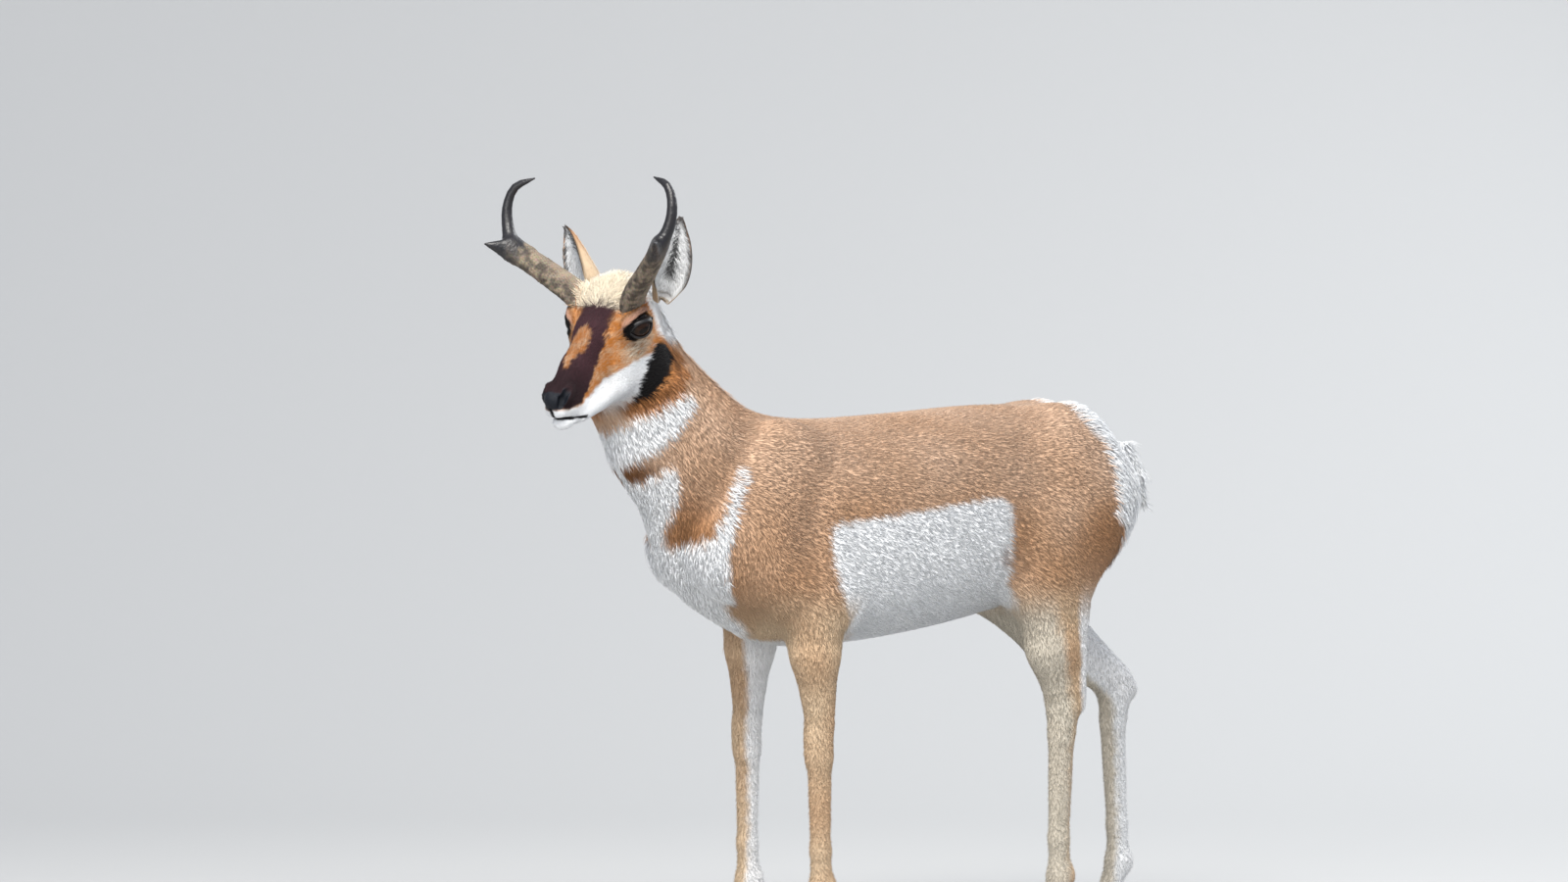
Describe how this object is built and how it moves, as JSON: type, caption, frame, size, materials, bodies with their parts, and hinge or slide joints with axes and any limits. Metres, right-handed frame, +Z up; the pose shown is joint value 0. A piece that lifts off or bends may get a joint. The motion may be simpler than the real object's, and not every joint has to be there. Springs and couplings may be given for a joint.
{
  "type": "pronghorn buck",
  "caption": "Life-size standing pronghorn buck with its head turned to its left: horns, ears, head, neck, torso, tail, legs and cloven hooves.",
  "frame": {"origin": "on the floor under the middle of the animal's box", "axes": "+X forward along the body, +Y towards the animal's left side, +Z up"},
  "size_m": [1.2022, 0.4006, 1.2636],
  "materials": {
    "coat": "short matte hair, cinnamon, white, brown and black in the species' markings",
    "horn": "keratin, rough and grey-brown below, smooth and black above",
    "hoof": "keratin, satin, with fine growth rings",
    "eye": "wet and clear",
    "nose": "bare moist skin"
  },
  "bodies": {
    "root": {"torso": "coat", "neck": "coat", "head": "coat", "tail": "coat", "ear_left": "coat", "ear_right": "coat", "eye_left": "eye", "eye_right": "eye", "horn_left": "horn", "horn_right": "horn", "foreleg_left": "coat", "foreleg_right": "coat", "foreleg_shank_left": "coat", "foreleg_shank_right": "coat", "hindleg_left": "coat", "hindleg_right": "coat", "hindleg_shank_left": "coat", "hindleg_shank_right": "coat", "hoof_foreleg_left_inner": "hoof", "hoof_foreleg_left_outer": "hoof", "hoof_foreleg_right_inner": "hoof", "hoof_foreleg_right_outer": "hoof", "hoof_hindleg_left_inner": "hoof", "hoof_hindleg_left_outer": "hoof", "hoof_hindleg_right_inner": "hoof", "hoof_hindleg_right_outer": "hoof"}
  },
  "joints": []
}
